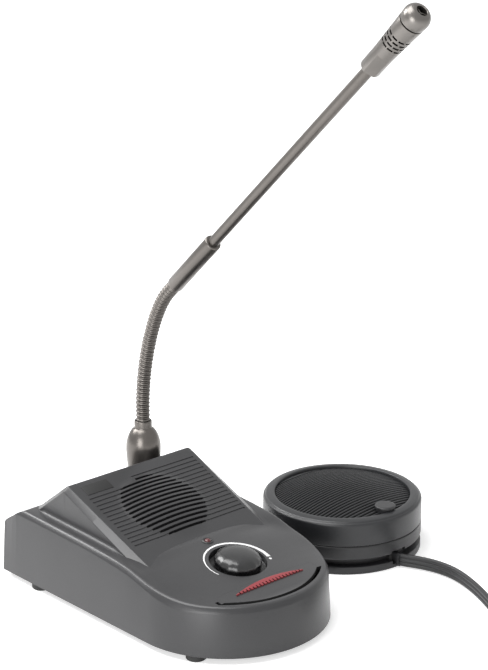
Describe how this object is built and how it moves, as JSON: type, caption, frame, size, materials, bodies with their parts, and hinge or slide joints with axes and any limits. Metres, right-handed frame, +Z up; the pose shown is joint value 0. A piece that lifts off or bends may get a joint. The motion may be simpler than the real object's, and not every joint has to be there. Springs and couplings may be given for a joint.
{
  "type": "teller window intercom",
  "caption": "Counter intercom: desk unit with speaker wedge, volume knob, talk bar and gooseneck microphone, plus a round outer speaker unit on a flat lead.",
  "frame": {"origin": "bottom centre of the desk unit, microphone and outer unit together, on the counter", "axes": "+Z up, -Y towards the user at the round front of the desk unit, +X to that user's right"},
  "size_m": [0.2752, 0.3366, 0.3747],
  "materials": {
    "housing_grey": "fine satin texture, mid grey",
    "base_black": "matte",
    "foot_rubber": "matte",
    "screw_steel": "satin",
    "badge_black": "gloss",
    "mark_white": "matte print",
    "socket_black": "semi gloss",
    "board_green": "matte",
    "part_steel": "satin",
    "knob_black": "gloss",
    "led_red": "clear red",
    "strip_red": "satin",
    "cap_white": "matte",
    "cone_black": "matte",
    "neck_metal": "satin, grey brown",
    "head_metal": "satin, grey brown",
    "outer_grey": "satin, near black grey",
    "outer_black": "satin",
    "cord_rubber": "matte",
    "tie_fabric": "matte"
  },
  "bodies": {
    "desk": {"housing_top": "housing_grey", "base_plate": "base_black", "feet": "foot_rubber", "base_screws": "screw_steel", "badge_inlay": "badge_black", "scale_marks": "mark_white", "dc_jack": "socket_black", "outer_unit_socket": "socket_black", "main_board": "board_green", "pot_body": "part_steel", "led": "led_red", "led_bezel": "socket_black", "talk_hinge_pins": "screw_steel", "talk_switch": "socket_black", "talk_switch_cap": "cap_white", "speaker_frame": "part_steel", "speaker_cone": "cone_black", "speaker_magnet": "part_steel", "speaker_screws": "screw_steel", "neck_bell": "neck_metal", "neck_nut": "screw_steel", "gooseneck_lower": "neck_metal", "outer_cover": "outer_grey", "outer_grille": "outer_grey", "outer_rear_cover": "outer_black", "outer_seal": "foot_rubber", "outer_base": "outer_black", "outer_base_screws": "screw_steel", "outer_speaker_frame": "part_steel", "outer_speaker_cone": "cone_black", "outer_speaker_magnet": "part_steel", "outer_mic_cap": "outer_black", "outer_mic_capsule": "part_steel", "outer_cover_screws": "screw_steel", "cord_gland": "foot_rubber", "cord_run": "cord_rubber", "cord_coil": "cord_rubber", "cord_tie": "tie_fabric", "cord_plug": "socket_black"},
    "knob": {"knob": "knob_black", "pot_shaft": "part_steel"},
    "talk_bar": {"talk_bar": "housing_grey", "talk_grip_strip": "strip_red"},
    "neck_mid": {"gooseneck_middle": "neck_metal", "gooseneck_upper": "neck_metal"},
    "boom": {"ferrule": "neck_metal", "boom_tube": "neck_metal", "head_body": "head_metal", "head_cap": "head_metal", "mic_capsule": "part_steel"}
  },
  "joints": [
    {"name": "knob_turn", "type": "hinge", "parent": "desk", "child": "knob", "pos_m": [-0.058, -0.0188, 0.04011], "axis": [0, 0.1377, -0.9905], "range_deg": [0, 280]},
    {"name": "talk_press", "type": "hinge", "parent": "desk", "child": "talk_bar", "pos_m": [-0.058, -0.0408, 0.0314], "axis": [1, 0, 0], "range_deg": [0, 3.5], "stiffness_Nm_per_rad": 0.12, "springref_deg": -8.59},
    {"name": "neck_bend", "type": "hinge", "parent": "desk", "child": "neck_mid", "pos_m": [-0.03, 0.09856, 0.11185], "axis": [1, 0, 0], "range_deg": [-25, 20], "deforming": ["gooseneck_lower"]},
    {"name": "neck_swing", "type": "hinge", "parent": "neck_mid", "child": "boom", "pos_m": [-0.03, 0.08287, 0.16321], "axis": [0, 1, 0], "range_deg": [-25, 25], "deforming": ["gooseneck_upper"]}
  ]
}
